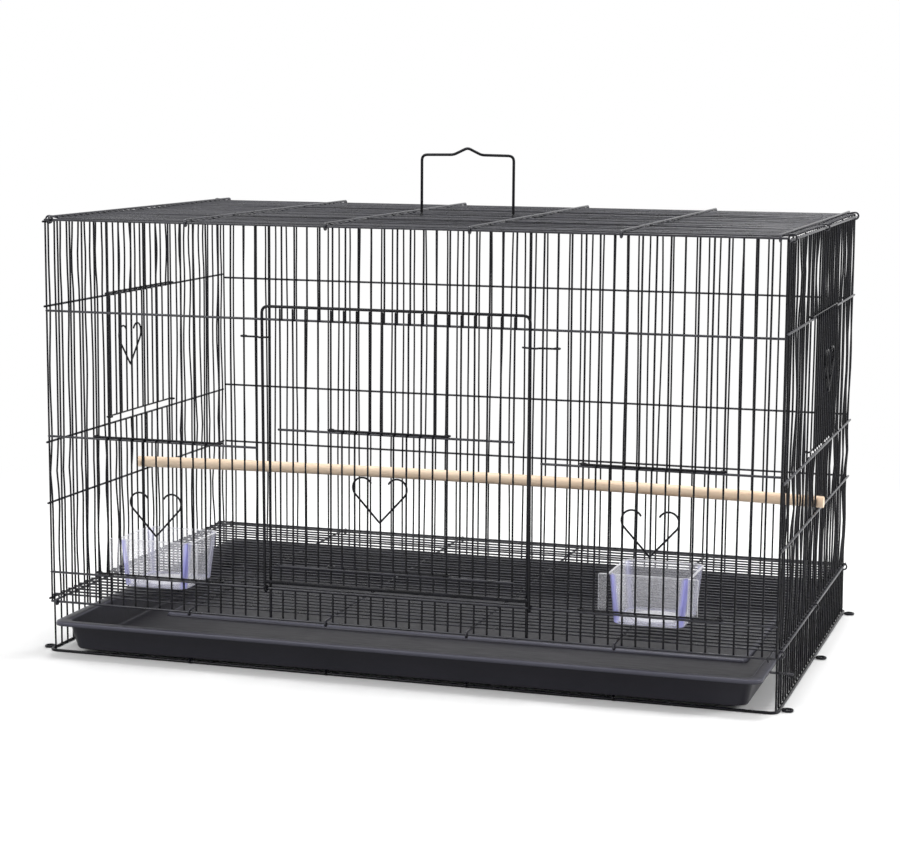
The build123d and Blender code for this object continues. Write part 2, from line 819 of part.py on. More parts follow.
with BuildPart() as left_cup:
    feed_cup(-feeder_mid - left_cup_shift)
left_cup.part.label = "left_cup"
export_step(left_cup.part, "parts/left_cup.step")

with BuildPart() as right_cup:
    feed_cup(feeder_mid + right_cup_shift)
right_cup.part.label = "right_cup"
export_step(right_cup.part, "parts/right_cup.step")
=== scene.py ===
# Wire bird cage: smooth round wire, plastic tray and cups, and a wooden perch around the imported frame.
import math
import bpy
import numpy as np
from mathutils import Matrix, Vector


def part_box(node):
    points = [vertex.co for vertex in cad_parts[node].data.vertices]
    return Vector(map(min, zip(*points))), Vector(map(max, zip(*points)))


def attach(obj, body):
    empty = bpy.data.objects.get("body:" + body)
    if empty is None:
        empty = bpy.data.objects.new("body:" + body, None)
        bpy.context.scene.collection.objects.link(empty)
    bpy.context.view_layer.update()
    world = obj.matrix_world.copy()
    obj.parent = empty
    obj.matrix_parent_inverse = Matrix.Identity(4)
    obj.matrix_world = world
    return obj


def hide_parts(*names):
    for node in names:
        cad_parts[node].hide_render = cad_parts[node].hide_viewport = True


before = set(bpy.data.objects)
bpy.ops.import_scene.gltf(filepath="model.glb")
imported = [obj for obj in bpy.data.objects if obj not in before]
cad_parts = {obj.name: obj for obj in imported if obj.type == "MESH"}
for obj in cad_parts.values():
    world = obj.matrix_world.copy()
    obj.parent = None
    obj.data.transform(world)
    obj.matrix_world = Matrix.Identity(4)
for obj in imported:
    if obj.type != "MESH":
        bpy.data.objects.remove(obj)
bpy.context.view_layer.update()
mm = 0.001
sameWire = 3 * mm  # a wire this close to a guide is the guide itself
bowLength = 0.4  # a wire of this length bows by its full amount
rng = np.random.default_rng(7)
xAxis = np.array([1.0, 0.0, 0.0])
yAxis = np.array([0.0, 1.0, 0.0])
zAxis = np.array([0.0, 0.0, 1.0])
print("frame loaded:", len(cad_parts), "nodes")


def solidBoxes(nodeName):
    # Lowest and highest corners of each separate solid in a node: equal corners are merged, then every
    # triangle gives its three corners the smallest label among them until nothing changes.
    snap = 2e-6  # corners in the same cell of this size are one
    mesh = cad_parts[nodeName].data
    points = np.empty(len(mesh.vertices) * 3)
    mesh.vertices.foreach_get("co", points)
    points = points.reshape(-1, 3)
    mesh.calc_loop_triangles()
    tris = np.empty(len(mesh.loop_triangles) * 3, int)
    mesh.loop_triangles.foreach_get("vertices", tris)
    merged, where = np.unique(np.round(points / snap).astype(np.int64), axis=0, return_inverse=True)
    tris = where.reshape(-1)[tris].reshape(-1, 3)
    label = np.arange(len(merged))
    while True:
        lowest = label[tris].min(axis=1)
        fresh = label.copy()
        np.minimum.at(fresh, tris.ravel(), np.repeat(lowest, 3))
        fresh = fresh[fresh]
        if (fresh == label).all():
            break
        label = fresh
    groups = np.unique(label, return_inverse=True)[1].reshape(-1)
    count = groups.max() + 1
    low = np.full((count, 3), np.inf)
    high = np.full((count, 3), -np.inf)
    np.minimum.at(low, groups, merged * snap)
    np.maximum.at(high, groups, merged * snap)
    order = np.lexsort((low[:, 2], low[:, 1], low[:, 0]))
    return low[order], high[order]


def gridFaces(rings, around, closed=False):
    # Quads between neighbouring rings of a grid, as index arrays.
    ring = np.arange(rings if closed else rings - 1)[:, None]
    step = np.arange(around)[None, :]
    nextRing = (ring + 1) % rings
    nextStep = (step + 1) % around
    quads = [ring * around + step, ring * around + nextStep, nextRing * around + nextStep, nextRing * around + step]
    return np.stack(quads, axis=-1).reshape(-1, 4)


def addPiece(name, points, quads, material, body, nodes=(), caps=(), tint=None):
    # One finished piece: its mesh, smooth faces, material, body and the nodes it stands for. A tint is one
    # number for each point, which the piece's material may read.
    mesh = bpy.data.meshes.new(name)
    mesh.from_pydata(np.asarray(points).tolist(), [], np.asarray(quads).tolist() + [list(c) for c in caps])
    mesh.polygons.foreach_set("use_smooth", np.ones(len(mesh.polygons), bool))
    mesh.materials.append(material)
    mesh.validate()
    mesh.update()
    if tint is not None:
        mesh.attributes.new("tint", "FLOAT", "POINT").data.foreach_set("value", tint)
    piece = bpy.data.objects.new(name, mesh)
    bpy.context.collection.objects.link(piece)
    if nodes:
        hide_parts(*nodes)
    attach(piece, body)
    return piece


def tubeMesh(paths, radius, normal, around=8, closed=False):
    # A circle carried along each path: centre + radius * (cos u * normal + sin u * side), where side is the
    # path's direction crossed with the fixed normal. Open ends are domed: the last rings shrink as a quarter
    # circle.
    points = []
    quads = []
    caps = []
    start = 0
    turn = np.linspace(0, 2 * math.pi, around, endpoint=False)
    for path in paths:
        centre = np.asarray(path, float)
        if closed:
            ahead = np.roll(centre, -1, axis=0) - np.roll(centre, 1, axis=0)
            size = np.full(len(centre), radius)
        else:
            first = centre[1] - centre[0]
            last = centre[-1] - centre[-2]
            first = first / np.linalg.norm(first)
            last = last / np.linalg.norm(last)
            dome = np.radians([84, 42])
            head = centre[0] + np.outer(radius * (1 - np.sin(dome)), first)
            tail = centre[-1] - np.outer(radius * (1 - np.sin(dome[::-1])), last)
            centre = np.vstack([head, centre[:1] + radius * first, centre[1:-1], centre[-1:] - radius * last, tail])
            plain = np.full(len(centre) - 2 * len(dome), radius)
            size = np.concatenate([radius * np.cos(dome), plain, radius * np.cos(dome[::-1])])
            ahead = np.gradient(centre, axis=0)
        ahead = ahead / np.linalg.norm(ahead, axis=1, keepdims=True)
        side = np.cross(ahead, normal)
        side = side / np.linalg.norm(side, axis=1, keepdims=True)
        ring = np.cos(turn)[None, :, None] * normal + np.sin(turn)[None, :, None] * side[:, None, :]
        body = centre[:, None, :] + size[:, None, None] * ring
        rings = len(centre)
        points.append(body.reshape(-1, 3))
        quads.append(gridFaces(rings, around, closed) + start)
        if not closed:
            caps.append(start + np.arange(around)[::-1])
            caps.append(start + (rings - 1) * around + np.arange(around))
        start += rings * around
    return np.vstack(points), np.vstack(quads), caps


def joinMeshes(*parts):
    # Several (points, quads, caps) sets as one.
    start = 0
    points = []
    quads = []
    caps = []
    for partPoints, partQuads, partCaps in parts:
        points.append(partPoints)
        quads.append(partQuads + start)
        caps += [cap + start for cap in partCaps]
        start += len(partPoints)
    return np.vstack(points), np.vstack(quads), caps


def straightPaths(low, high, axis, bow=0.0, across=0, still=(), steps=7):
    # Centre lines of straight wires: the middle of each box, from end to end of its long axis. Each one bows
    # sideways as two sine waves of random size, which are zero at its ends.
    along = np.linspace(0, 1, steps if bow else 3)
    middle = (low + high) / 2
    paths = np.repeat(middle[:, None, :], len(along), axis=1)
    paths[:, :, axis] = low[:, None, axis] + (high - low)[:, None, axis] * along
    if bow:
        size = rng.normal(0, bow, (len(low), 2))
        if len(still):
            near = np.abs(middle[:, across][:, None] - np.asarray(still)[None, :]).min(axis=1)
            size[near < sameWire] = 0
        length = (high - low)[:, axis] / bowLength
        wave = size[:, :1] * np.sin(math.pi * along) + 0.5 * size[:, 1:] * np.sin(2 * math.pi * along)
        paths[:, :, across] += wave * length[:, None]
    return paths


def bowOut(paths, out, knots, size, wayIn, inward):
    # Bow across the grille: size * sin(pi t) squared between each rail and the next, so that the wire runs
    # straight past every rail. Most wires bulge outwards a little. Where inward is a direction, those bow only
    # that way.
    most, bulge = 2.2 * size, 0.8 * size
    height = paths[:, :, 2]
    knots = np.sort(np.asarray(knots))
    span = np.clip(np.searchsorted(knots, height, side="right") - 1, 0, len(knots) - 2)
    t = np.clip((height - knots[span]) / (knots[span + 1] - knots[span]), 0, 1)
    amount = np.clip(rng.normal(0, size, (len(paths), len(knots) - 1)), -most, most)
    amount = np.where(inward[:, None] != 0, np.abs(amount) * inward[:, None], amount - bulge * wayIn)
    wave = np.take_along_axis(amount, span, axis=1) * np.sin(math.pi * t) ** 2
    paths[:, :, out] += wave


def roundedPath(corners, bend, steps=6):
    # Straight runs joined by smooth bends: at each corner a quadratic curve (1-t)^2 a + 2t(1-t) c + t^2 b
    # between the points that lie one bend length before and after it.
    corners = np.asarray(corners, float)
    here = corners[1:-1]
    back = corners[:-2] - here
    forth = corners[2:] - here
    backSize = np.linalg.norm(back, axis=1, keepdims=True)
    forthSize = np.linalg.norm(forth, axis=1, keepdims=True)
    bends = np.minimum(np.asarray(bend, float).reshape(-1, 1), 0.48 * np.minimum(backSize, forthSize))
    a = here + back / backSize * bends
    b = here + forth / forthSize * bends
    t = np.linspace(0, 1, steps)[None, :, None]
    curve = (1 - t) ** 2 * a[:, None] + 2 * t * (1 - t) * here[:, None] + t ** 2 * b[:, None]
    return np.vstack([corners[:1], curve.reshape(-1, 3), corners[-1:]])


def loopArc(centre, right, up, radius, start, sweep, steps=14):
    # Part of a circle: centre + radius * (cos a * right + sin a * up), a from start through sweep degrees.
    angle = np.radians(start + np.linspace(0, sweep, steps))
    return centre + radius * (np.outer(np.cos(angle), right) + np.outer(np.sin(angle), up))


def hookedPath(startGuide, endGuide, out, radius, sweep, rise=0.0, run=0.0):
    # A bar that curls round a guide at each end: it runs one loop radius outside the two guides. With a rise, its
    # ends lift by that much over the given run before they curl.
    startGuide = np.asarray(startGuide, float) + out * rise
    endGuide = np.asarray(endGuide, float) + out * rise
    along = (endGuide - startGuide) / np.linalg.norm(endGuide - startGuide)
    endLoop = loopArc(endGuide, along, -out, radius, -90, sweep)
    startLoop = loopArc(startGuide, -along, -out, radius, -90, sweep)[::-1]
    if not rise:
        return np.vstack([startLoop, endLoop])
    t = np.linspace(0, 1, 5)
    ramp = np.outer(t, along) * run - np.outer(t * t * (3 - 2 * t), out) * rise
    mirrored = np.outer(-t, along) * run - np.outer(t * t * (3 - 2 * t), out) * rise
    return np.vstack([startLoop, startLoop[-1] + ramp[1:], (endLoop[0] + mirrored[1:])[::-1], endLoop])


def newMaterial(name):
    # An empty node material with its shader.
    material = bpy.data.materials.new(name)
    material.use_nodes = True
    tree = material.node_tree
    shader = tree.nodes["Principled BSDF"]
    return material, tree, shader


def addNode(tree, kind, **inputs):
    # One node with its sockets set by name.
    node = tree.nodes.new(kind)
    for key, value in inputs.items():
        node.inputs[key].default_value = value
    return node


def noiseOn(tree, scale, detail=4.0, stretch=(1, 1, 1)):
    # Noise on object coordinates, stretched along the axes.
    place = tree.nodes.new("ShaderNodeTexCoord")
    mapping = addNode(tree, "ShaderNodeMapping", Scale=stretch)
    noise = addNode(tree, "ShaderNodeTexNoise", Scale=scale, Detail=detail)
    tree.links.new(place.outputs["Object"], mapping.inputs["Vector"])
    tree.links.new(mapping.outputs["Vector"], noise.inputs["Vector"])
    return noise


def rampOf(tree, source, stops):
    # A colour ramp with the given stops.
    ramp = tree.nodes.new("ShaderNodeValToRGB")
    ramp.color_ramp.elements[0].position = stops[0][0]
    ramp.color_ramp.elements[0].color = stops[0][1]
    ramp.color_ramp.elements[1].position = stops[-1][0]
    ramp.color_ramp.elements[1].color = stops[-1][1]
    for place, colour in stops[1:-1]:
        element = ramp.color_ramp.elements.new(place)
        element.color = colour
    tree.links.new(source, ramp.inputs["Fac"])
    return ramp


def addBump(tree, shader, height, strength, distance):
    # Bump from a height socket.
    bump = addNode(tree, "ShaderNodeBump", Strength=strength, Distance=distance)
    tree.links.new(height, bump.inputs["Height"])
    tree.links.new(bump.outputs["Normal"], shader.inputs["Normal"])


def addGloss(tree, shader, source, look):
    # Roughness between the look's smooth and rough values, led by a source.
    gloss = addNode(tree, "ShaderNodeMapRange")
    gloss.inputs["To Min"].default_value = look["smooth"]
    gloss.inputs["To Max"].default_value = look["rough"]
    tree.links.new(source, gloss.inputs["Value"])
    tree.links.new(gloss.outputs["Result"], shader.inputs["Roughness"])


def tintOf(tree):
    # The tint of the piece's points.
    tint = tree.nodes.new("ShaderNodeAttribute")
    tint.attribute_name = "tint"
    return tint.outputs["Fac"]


coatLook = {
    "dark": (0.002, 0.002, 0.003, 1), "pale": (0.007, 0.007, 0.011, 1), "smooth": 0.20, "rough": 0.34, "gloss": 0.17,
}
# The paler base colours of this look are a painted highlight on the rails and grids.
railPaintedHighlightLook = {
    "dark": (0.008, 0.008, 0.012, 1), "pale": (0.026, 0.026, 0.036, 1), "smooth": 0.22, "rough": 0.36, "gloss": 0.42,
}
coatGrain = {"patchScale": 60, "peelScale": 1400, "peel": 0.04, "peelDepth": 0.0002}


def makeCoat(name, look):
    # Black powder coat on wire: fine orange peel and a little change of gloss.
    material, tree, shader = newMaterial(name)
    patch = noiseOn(tree, coatGrain["patchScale"])
    colour = rampOf(tree, patch.outputs["Fac"], [(0.35, look["dark"]), (0.7, look["pale"])])
    tree.links.new(colour.outputs["Color"], shader.inputs["Base Color"])
    addGloss(tree, shader, patch.outputs["Fac"], look)
    peel = noiseOn(tree, coatGrain["peelScale"], 2.0)
    addBump(tree, shader, peel.outputs["Fac"], coatGrain["peel"], coatGrain["peelDepth"])
    shader.inputs["Specular IOR Level"].default_value = look["gloss"]
    return material


# The edge colour is a painted highlight, laid where the tint of a point is 1.
trayLook = {
    "dark": (0.007, 0.007, 0.010, 1), "pale": (0.013, 0.012, 0.017, 1), "edge": (0.115, 0.115, 0.15, 1),
    "smooth": 0.24, "rough": 0.42, "gloss": 0.20, "ripple": 0.05, "pebble": 0.16, "patchScale": 9, "scuffScale": 40,
    "rippleScale": 14, "rippleDepth": 0.002, "pebbleScale": 420, "pebbleDepth": 0.0004,
}


def makeTrayPlastic():
    # Vacuum-formed black sheet: soft ripples, a fine pebble that breaks up its gloss, faint scuffs, and edges painted
    # paler as a painted highlight where the tint of a point is 1.
    material, tree, shader = newMaterial("blackTrayPlastic")
    patch = noiseOn(tree, trayLook["patchScale"], 6.0)
    colour = rampOf(tree, patch.outputs["Fac"], [(0.3, trayLook["dark"]), (0.75, trayLook["pale"])])
    # Mix in the edge colour as a painted highlight, led by the tint.
    paintedHighlight = tree.nodes.new("ShaderNodeMixRGB")
    paintedHighlight.inputs["Color2"].default_value = trayLook["edge"]
    tree.links.new(tintOf(tree), paintedHighlight.inputs["Fac"])
    tree.links.new(colour.outputs["Color"], paintedHighlight.inputs["Color1"])
    tree.links.new(paintedHighlight.outputs["Color"], shader.inputs["Base Color"])
    scuff = noiseOn(tree, trayLook["scuffScale"], 8.0, (1, 6, 1))
    addGloss(tree, shader, scuff.outputs["Fac"], trayLook)
    ripple = noiseOn(tree, trayLook["rippleScale"], 2.0)
    pebble = noiseOn(tree, trayLook["pebbleScale"], 2.0)
    soft = addNode(tree, "ShaderNodeBump", Strength=trayLook["ripple"], Distance=trayLook["rippleDepth"])
    fine = addNode(tree, "ShaderNodeBump", Strength=trayLook["pebble"], Distance=trayLook["pebbleDepth"])
    tree.links.new(ripple.outputs["Fac"], soft.inputs["Height"])
    tree.links.new(pebble.outputs["Fac"], fine.inputs["Height"])
    tree.links.new(soft.outputs["Normal"], fine.inputs["Normal"])
    tree.links.new(fine.outputs["Normal"], shader.inputs["Normal"])
    shader.inputs["Specular IOR Level"].default_value = trayLook["gloss"]
    return material


cupLook = {
    "white": (0.86, 0.86, 0.90, 1), "face": (0.74, 0.74, 0.79, 1), "edge": (0.42, 0.42, 0.90, 1),
    "whiteCover": 0.50, "faceCover": 0.13, "edgeCover": 0.62, "grazeCover": 0.30, "blend": 0.35,
    "smooth": 0.05, "rough": 0.20, "hazeScale": 45, "refraction": 1.49,
}


def makeCupPlastic():
    # Clear plastic: the tint of a point runs from -1, a white moulded edge, through 0, a clear wall, to 1, a
    # lavender corner that light runs along. A wall seen edge on covers more of what is behind it.
    material, tree, shader = newMaterial("clearCupPlastic")
    share = addNode(tree, "ShaderNodeMapRange")
    share.inputs["From Min"].default_value = -1
    tree.links.new(tintOf(tree), share.inputs["Value"])
    kinds = list(zip((0.1, 0.5, 0.9), ("white", "face", "edge")))
    colour = rampOf(tree, share.outputs["Result"], [(place, cupLook[kind]) for place, kind in kinds])
    tree.links.new(colour.outputs["Color"], shader.inputs["Base Color"])
    greys = [(place, (cupLook[kind + "Cover"],) * 3 + (1,)) for place, kind in kinds]
    cover = rampOf(tree, share.outputs["Result"], greys)
    facing = addNode(tree, "ShaderNodeLayerWeight", Blend=cupLook["blend"])
    graze = addNode(tree, "ShaderNodeMapRange")
    graze.inputs["To Max"].default_value = cupLook["grazeCover"]
    tree.links.new(facing.outputs["Facing"], graze.inputs["Value"])
    whole = addNode(tree, "ShaderNodeMath")
    whole.operation = "ADD"
    whole.use_clamp = True
    tree.links.new(cover.outputs["Color"], whole.inputs[0])
    tree.links.new(graze.outputs["Result"], whole.inputs[1])
    tree.links.new(whole.outputs["Value"], shader.inputs["Alpha"])
    haze = noiseOn(tree, cupLook["hazeScale"], 3.0)
    addGloss(tree, shader, haze.outputs["Fac"], cupLook)
    shader.inputs["IOR"].default_value = cupLook["refraction"]
    return material


woodLook = {
    "pale": (0.90, 0.71, 0.53, 1), "mid": (0.84, 0.62, 0.44, 1), "dark": (0.64, 0.42, 0.27, 1), "rough": 0.62,
    "grainScale": 90, "fibreScale": 500, "fibre": 0.25, "fibreDepth": 0.0004,
}


def makeWood():
    # Pale dowel: long grain along X, with a few darker streaks.
    material, tree, shader = newMaterial("paleDowelWood")
    grain = noiseOn(tree, woodLook["grainScale"], 6.0, (0.06, 1, 1))
    colour = rampOf(
        tree, grain.outputs["Fac"],
        [(0.30, woodLook["dark"]), (0.42, woodLook["mid"]), (0.62, woodLook["pale"])],
    )
    tree.links.new(colour.outputs["Color"], shader.inputs["Base Color"])
    shader.inputs["Roughness"].default_value = woodLook["rough"]
    fibre = noiseOn(tree, woodLook["fibreScale"], 4.0, (0.04, 1, 1))
    addBump(tree, shader, fibre.outputs["Fac"], woodLook["fibre"], woodLook["fibreDepth"])
    return material


coat = makeCoat("blackWireCoat", coatLook)
railPaintedHighlightCoat = makeCoat("blackRailPaintedHighlightCoat", railPaintedHighlightLook)  # rails and grids get a glossier coat than the uprights, and its paler base colour is a painted highlight
trayPlastic = makeTrayPlastic()
cupPlastic = makeCupPlastic()
wood = makeWood()
print("materials made")

wireSizes = {
    "wire": 1.0 * mm, "rail": 1.2 * mm, "post": 1.5 * mm, "bar": 1.0 * mm, "frame": 1.5 * mm, "bow": 0.55 * mm,
    "sideBow": 1.0 * mm, "backBow": 0.6 * mm, "nearDoor": 20 * mm,
}
eyeSizes = {
    "railEye": 2.7 * mm, "wireEye": 3.4 * mm, "railOuter": 3.6 * mm, "wireOuter": 3.2 * mm, "sweep": 312,
    "topRailEye": 3.0 * mm, "topWireEye": 3.7 * mm, "rise": 2.2 * mm, "run": 13 * mm,
    "topLift": 0.8 * mm, "topSag": 0.8 * mm, "floorSag": 0.2 * mm,
    "underHandle": 20 * mm, "liftRun": 90 * mm, "middleEye": 2.9 * mm, "middleRise": 1.0 * mm,
}
loopSizes = {"radius": 2.7 * mm, "outer": 3.7 * mm, "reach": 3.7 * mm / math.cos(math.pi / 6), "sweep": 288}


def guidesOf(nodeName, axis):
    # Where the loops of a door's bars sit along an axis.
    low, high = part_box(nodeName)
    return [low[axis] + loopSizes["reach"], high[axis] - loopSizes["reach"]]


frontGuides = guidesOf("left_feeder_bars", 0) + guidesOf("right_feeder_bars", 0)
frontGuides += [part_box("left_latch")[0][0] + loopSizes["reach"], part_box("right_latch")[1][0] - loopSizes["reach"]]
innerGuides = guidesOf("inner_door_bars", 0)
perchY = [-6.75 * mm, 6.75 * mm]

straightSets = [
    # node, piece, body, radius, long axis, bow axis, bow, wires that stay straight
    ("front_uprights", "frontUprightWires", "cage", "wire", 2, 0, 1.0, frontGuides),
    ("front_posts", "doorwayPosts", "cage", "post", 2, 0, 0, ()),
    ("front_rails", "frontRails", "cage", "rail", 0, 2, 0.2, ()),
    ("back_uprights", "backUprightWires", "cage", "wire", 2, 0, 1.6, ()),
    ("back_rails", "backRails", "cage", "rail", 0, 2, 0.2, ()),
    ("left_uprights", "leftUprightWires", "cage", "wire", 2, 1, 3.4, guidesOf("left_side_bars", 1) + perchY),
    ("left_rails", "leftRails", "cage", "rail", 1, 2, 0.0, ()),
    ("right_uprights", "rightUprightWires", "cage", "wire", 2, 1, 3.4, guidesOf("right_side_bars", 1) + perchY),
    ("right_rails", "rightRails", "cage", "rail", 1, 2, 0.0, ()),
    ("tray_stop", "trayStopWire", "cage", "rail", 0, 2, 0.0, ()),
    ("main_door_wires", "mainDoorWires", "main_door", "wire", 2, 0, 0.5, innerGuides),
    ("main_door_rails", "mainDoorRails", "main_door", "rail", 0, 2, 0, ()),
    ("inner_door_wires", "smallDoorWires", "inner_door", "wire", 2, 0, 0.4, ()),
    ("left_feeder_wires", "leftFeederWires", "left_feeder", "wire", 2, 0, 0.4, ()),
    ("right_feeder_wires", "rightFeederWires", "right_feeder", "wire", 2, 0, 0.4, ()),
    ("left_side_wires", "leftSideDoorWires", "left_side_door", "wire", 2, 1, 0.4, ()),
    ("right_side_wires", "rightSideDoorWires", "right_side_door", "wire", 2, 1, 0.4, ()),
]
wavyGrilles = {
    # node: direction across the grille, bow, side door or none, way in
    "back_uprights": (1, "backBow", None, -1),
    "left_uprights": (0, "sideBow", "left_side_bars", 1),
    "right_uprights": (0, "sideBow", "right_side_bars", -1),
}


def cutForDoor(low, high, guides, knots):
    # The wires between a side door's two guides stop at the middle rail and start again at the upper one.
    middle = (low[:, 1] + high[:, 1]) / 2
    cut = (middle > guides[0] + sameWire) & (middle < guides[1] - sameWire) & (high[:, 2] > knots[3])
    below, above = high[cut].copy(), low[cut].copy()
    below[:, 2] = knots[2] + wireSizes["rail"]
    above[:, 2] = knots[3] - wireSizes["rail"]
    newLow = np.vstack([low[~cut], low[cut], above])
    newHigh = np.vstack([high[~cut], below, high[cut]])
    return newLow, newHigh


for node, pieceName, body, size, axis, across, bow, still in straightSets:
    low, high = solidBoxes(node)
    grille = wavyGrilles.get(node)
    if grille is None:
        paths = straightPaths(low, high, axis, bow * wireSizes["bow"], across, still)
    else:
        out, bowName, doorNode, wayIn = grille
        railLow, railHigh = solidBoxes(node.replace("uprights", "rails"))
        knots = np.sort((railLow[:, 2] + railHigh[:, 2]) / 2)
        inward = np.zeros(len(low))
        if doorNode:
            guides = guidesOf(doorNode, 1)
            low, high = cutForDoor(low, high, guides, knots)
            middle = (low[:, 1] + high[:, 1]) / 2
            reach = wireSizes["nearDoor"]
            inward = np.where((middle > guides[0] - reach) & (middle < guides[1] + reach), wayIn, 0)
        paths = straightPaths(low, high, axis, bow * wireSizes["bow"], across, still, 25)
        middle = (low[:, across] + high[:, across]) / 2
        free = np.array([all(abs(m - g) > sameWire for g in still) for m in middle])
        loose = paths[free]
        bowOut(loose, out, knots, wireSizes[bowName], wayIn, inward[free])
        paths[free] = loose
    normal = xAxis if axis == 1 else yAxis
    points, quads, caps = tubeMesh(paths, wireSizes[size], normal)
    # Rails take the coat whose paler base colour is a painted highlight.
    finish = railPaintedHighlightCoat if size == "rail" else coat
    addPiece(pieceName, points, quads, finish, body, [node], caps)
print("straight wires done")


def hookedGrid(node, pieceName, axis, wireRadius, eyeRadius, eyeOuter, rise, sag, lift):
    # Wires of a grid: those with an eye at each end are deeper boxes, and curl round the rail below them. The
    # others sag or rise a little between their ends as a sine wave. A lift carries the grid on wider eyes, but
    # not the lengthwise wires under the handle, which the handle's feet go round and fold down over.
    low, high = solidBoxes(node)
    deep = (high - low)[:, 2] > 3 * wireRadius
    away = np.abs(low + high)[:, 1] / 2
    under = (away < eyeSizes["underHandle"]) & (axis == 0) & (lift > 0)
    share = np.clip((away - eyeSizes["underHandle"]) / eyeSizes["liftRun"], 0, 1) if axis == 0 else 1.0
    raised = lift * share * np.ones(len(low))
    low[:, 2] += raised
    high[:, 2] += raised
    sets = []
    normal = yAxis if axis == 0 else xAxis
    if (~deep).any():
        paths = straightPaths(low[~deep], high[~deep], axis, 0.6 * wireSizes["bow"], 1 - axis, (), 13)
        t = np.linspace(0, 1, paths.shape[1])
        amount = rng.normal(0, sag, (len(paths), 1))
        amount = np.where(under[~deep][:, None], -np.abs(amount), np.clip(amount, -2 * sag, 2 * sag))
        paths[:, :, 2] += amount * np.sin(math.pi * t)
        sets.append(tubeMesh(paths, wireRadius, normal))
    middle = (low + high) / 2
    paths = []
    for i in np.flatnonzero(deep):
        start = middle[i].copy()
        end = middle[i].copy()
        eye, up = (eyeSizes["middleEye"], eyeSizes["middleRise"]) if under[i] else (eyeRadius, rise)
        start[2] = end[2] = high[i, 2] - wireRadius - eye
        start[axis] = low[i, axis] + eyeOuter
        end[axis] = high[i, axis] - eyeOuter
        paths.append(hookedPath(start, end, zAxis, eye, eyeSizes["sweep"], up, eyeSizes["run"]))
    sets.append(tubeMesh(paths, wireRadius, normal))
    points, quads, caps = joinMeshes(*sets)
    # Grids take the coat whose paler base colour is a painted highlight.
    addPiece(pieceName, points, quads, railPaintedHighlightCoat, "cage", [node], caps)


grids = [
    # node, piece, axis, radius, eye, eye's outer reach, rise, sag, lift
    ("top_wires", "topWires", 0, "wire", "topWireEye", "wireOuter", "rise", "topSag", "topLift"),
    ("floor_wires", "floorWires", 0, "wire", "wireEye", "wireOuter", None, "floorSag", None),
    ("top_cross_wires", "topCrossWires", 1, "rail", "topRailEye", "railOuter", None, None, "topLift"),
    ("floor_cross_wires", "floorCrossWires", 1, "rail", "railEye", "railOuter", None, None, None),
]
for node, pieceName, axis, size, *names in grids:
    hookedGrid(node, pieceName, axis, wireSizes[size], *[eyeSizes.get(name, 0.0) for name in names])
print("grids done")

baseLook = {
    "corner": 8 * mm, "radius": 1.5 * mm, "hook": 2.0 * mm,
    "eyeRadius": 4.85 * mm, "eyeWire": 1.15 * mm, "eyeY": 216 * mm, "eyeStart": 172, "eyeSweep": -344,
}


def makeBase():
    # The frame wire is one closed run with a quarter circle at each corner. Each eye is a nearly closed circle
    # beside it, and each cross wire turns down over the front with a quadratic bend.
    look = baseLook
    high = np.array(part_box("base_frame")[1])
    r = look["radius"]
    halfX, halfY = high[0] - r, high[1] - r
    turn = np.radians(np.linspace(0, 90, 8))
    corner = np.stack([np.cos(turn), np.sin(turn)], axis=1) * look["corner"]
    runs = []
    for k, (sx, sy) in enumerate([(1, 1), (-1, 1), (-1, -1), (1, -1)]):
        arc = corner if k % 2 == 0 else corner[::-1]
        across = sx * (halfX - look["corner"] + arc[:, 0])
        along = sy * (halfY - look["corner"] + arc[:, 1])
        runs.append(np.column_stack([across, along, np.full(len(arc), r)]))
    points, quads, caps = tubeMesh([np.vstack(runs)], r, zAxis, 12, closed=True)
    addPiece("baseFrameWire", points, quads, coat, "cage", ["base_frame"], caps)

    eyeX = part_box("base_eyes")[1][0] - look["eyeRadius"] - look["eyeWire"]
    eyeZ = (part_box("base_eyes")[0][2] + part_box("base_eyes")[1][2]) / 2
    spots = [(side, y) for side in (-1, 1) for y in (-look["eyeY"], 0, look["eyeY"])]
    circle = (look["eyeRadius"], look["eyeStart"], look["eyeSweep"], 22)
    circles = [loopArc(np.array([side * eyeX, y, eyeZ]), xAxis * side, yAxis, *circle) for side, y in spots]
    points, quads, caps = tubeMesh(circles, look["eyeWire"], zAxis, 10)
    addPiece("baseFrameEyes", points, quads, coat, "cage", ["base_eyes"], caps)

    low, high = solidBoxes("base_cross_wires")
    radius = wireSizes["rail"]
    middle = (low + high) / 2
    paths = [
        roundedPath([
            (middle[i, 0], low[i, 1] + radius, low[i, 2]),
            (middle[i, 0], low[i, 1] + radius, high[i, 2] - radius),
            (middle[i, 0], high[i, 1], high[i, 2] - radius),
        ], [look["hook"]])
        for i in range(len(low))
    ]
    points, quads, caps = tubeMesh(paths, radius, xAxis, 10)
    addPiece("baseCrossWires", points, quads, coat, "cage", ["base_cross_wires"], caps)


makeBase()


def doorBars(node, pieceName, body, axis, outward):
    # Two bars with a loop at each end; outward is the side of the grille that the bars run along.
    low, high = solidBoxes(node)
    other = 1 - axis
    sign = outward[other]
    paths = []
    for lo, hi in zip(low, high):
        guide = (lo + hi) / 2
        guide[other] = hi[other] - loopSizes["outer"] if sign < 0 else lo[other] + loopSizes["outer"]
        start = guide.copy()
        end = guide.copy()
        start[axis] = lo[axis] + loopSizes["reach"]
        end[axis] = hi[axis] - loopSizes["reach"]
        paths.append(hookedPath(start, end, outward, loopSizes["radius"], loopSizes["sweep"]))
    points, quads, caps = tubeMesh(paths, wireSizes["bar"], zAxis, 12)
    addPiece(pieceName, points, quads, coat, body, [node], caps)


heartLook = {
    "lobeX": 18.0 * mm, "lobeZ": 34.4 * mm, "lobeRadius": 10.1 * mm, "curlEnd": 155, "wire": 1.0 * mm,
    "tipLift": 1.3 * mm,
}


